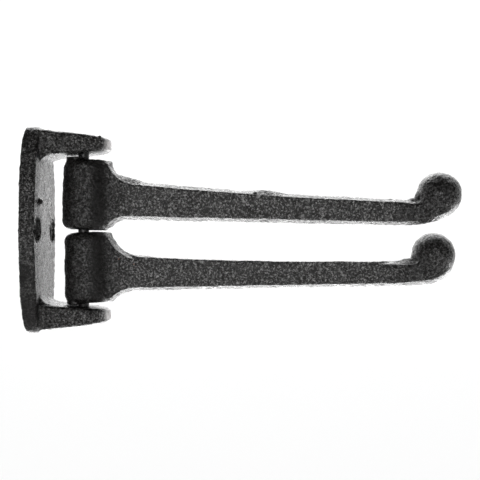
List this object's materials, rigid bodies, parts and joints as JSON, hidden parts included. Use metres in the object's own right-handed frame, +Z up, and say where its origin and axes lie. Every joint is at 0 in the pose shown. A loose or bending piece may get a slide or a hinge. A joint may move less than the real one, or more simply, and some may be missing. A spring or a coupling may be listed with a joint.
{
  "type": "double swivel wall hook",
  "caption": "Cast-iron wall hook: bracket with two ears, riveted vertical pin, and two hook arms that swing on it one above the other.",
  "frame": {"origin": "centre of the bracket's flat back, on the wall", "axes": "+X points away from the wall, +Z up along the pivot pin, +Y to the right of someone who faces the wall"},
  "size_m": [0.1455, 0.031, 0.0686],
  "materials": {
    "painted_iron": "rough sand casting under satin black paint",
    "painted_steel_pin": "satin black paint over steel rod, ends peened"
  },
  "bodies": {
    "bracket": {"wall_bracket": "painted_iron", "pivot_pin": "painted_steel_pin"},
    "upper_arm": {"upper_arm": "painted_iron"},
    "lower_arm": {"lower_arm": "painted_iron"}
  },
  "joints": [
    {"name": "upper_swing", "type": "hinge", "parent": "bracket", "child": "upper_arm", "pos_m": [0.0183, 0, 0.012], "axis": [0, 0, 1], "range_deg": [-93, 97]},
    {"name": "lower_swing", "type": "hinge", "parent": "bracket", "child": "lower_arm", "pos_m": [0.0183, 0, -0.0126], "axis": [0, 0, 1], "range_deg": [-97, 93]}
  ]
}
